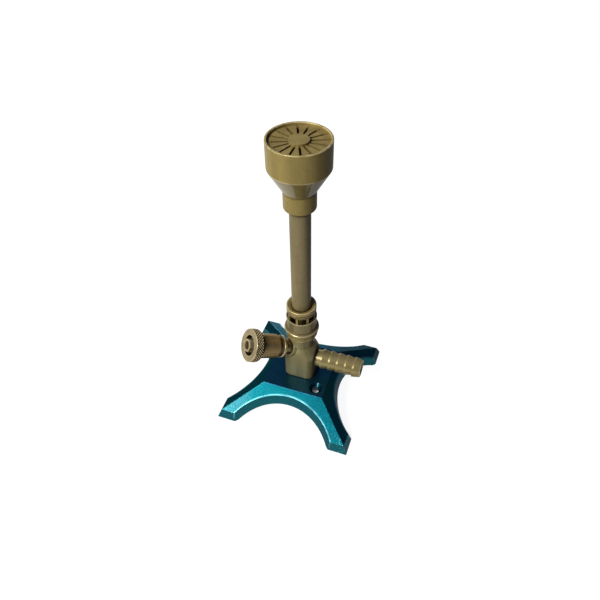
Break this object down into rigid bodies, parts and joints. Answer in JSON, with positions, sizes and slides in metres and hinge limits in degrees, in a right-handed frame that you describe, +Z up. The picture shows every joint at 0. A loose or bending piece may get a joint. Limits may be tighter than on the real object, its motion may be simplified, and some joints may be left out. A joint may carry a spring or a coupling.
{
  "type": "bunsen burner",
  "caption": "Laboratory gas burner: four-legged cast base, hose spigot, inclined needle valve, sliding air collar and wide slotted flame head.",
  "frame": {"origin": "on the bench under the middle of the base, on the burner tube's axis", "axes": "+Z up the burner tube, +X along the hose spigot, square to the base's sides"},
  "size_m": [0.0836, 0.0836, 0.1772],
  "materials": {
    "base_paint": "glossy metallic teal enamel on a casting",
    "steel": "plain zinc-plated steel",
    "fibre": "pressed fibre sealing washer, dark",
    "packing": "white gland packing",
    "body_brass": "satin brass, machined from square bar",
    "fitting_brass": "satin turned brass",
    "spindle_brass": "turned brass",
    "knob_brass": "knurled brass",
    "sleeve_brass": "turned brass",
    "collar_brass": "thin spun brass",
    "tube_brass": "drawn brass tube, dulled",
    "head_brass": "turned brass, dulled",
    "plate_brass": "milled brass plate"
  },
  "bodies": {
    "burner": {"base_casting": "base_paint", "base_screw": "steel", "base_washer": "steel", "valve_body": "body_brass", "hose_spigot": "fitting_brass", "hose_seal": "fibre", "valve_bonnet": "fitting_brass", "bonnet_seal": "fibre", "thrust_washer": "spindle_brass", "gland_packing": "packing", "gland_nut": "spindle_brass", "gas_jet": "fitting_brass", "jet_seal": "fibre", "air_sleeve": "sleeve_brass", "lock_ring": "sleeve_brass", "burner_tube": "tube_brass", "burner_head": "head_brass", "slot_plate": "plate_brass"},
    "knob": {"control_knob": "knob_brass", "knob_washer": "spindle_brass", "knob_nut": "spindle_brass", "valve_spindle": "spindle_brass"},
    "needle": {"valve_needle": "steel"},
    "collar": {"air_collar": "collar_brass"}
  },
  "joints": [
    {"name": "knob_turn", "type": "hinge", "parent": "burner", "child": "knob", "pos_m": [0, 0, 0.03645], "axis": [-0.6616, -0.5957, 0.4555], "range_deg": [0, 720]},
    {"name": "needle_travel", "type": "slide", "parent": "burner", "child": "needle", "axis": [-0.6616, -0.5957, 0.4555], "range_m": [0, 0.002]},
    {"name": "collar_slide", "type": "slide", "parent": "burner", "child": "collar", "axis": [0, 0, 1], "range_m": [0, 0.0048]}
  ],
  "couplings": [
    {"joint": "needle_travel", "follows": "knob_turn", "m_per_rad": 0.000159}
  ]
}
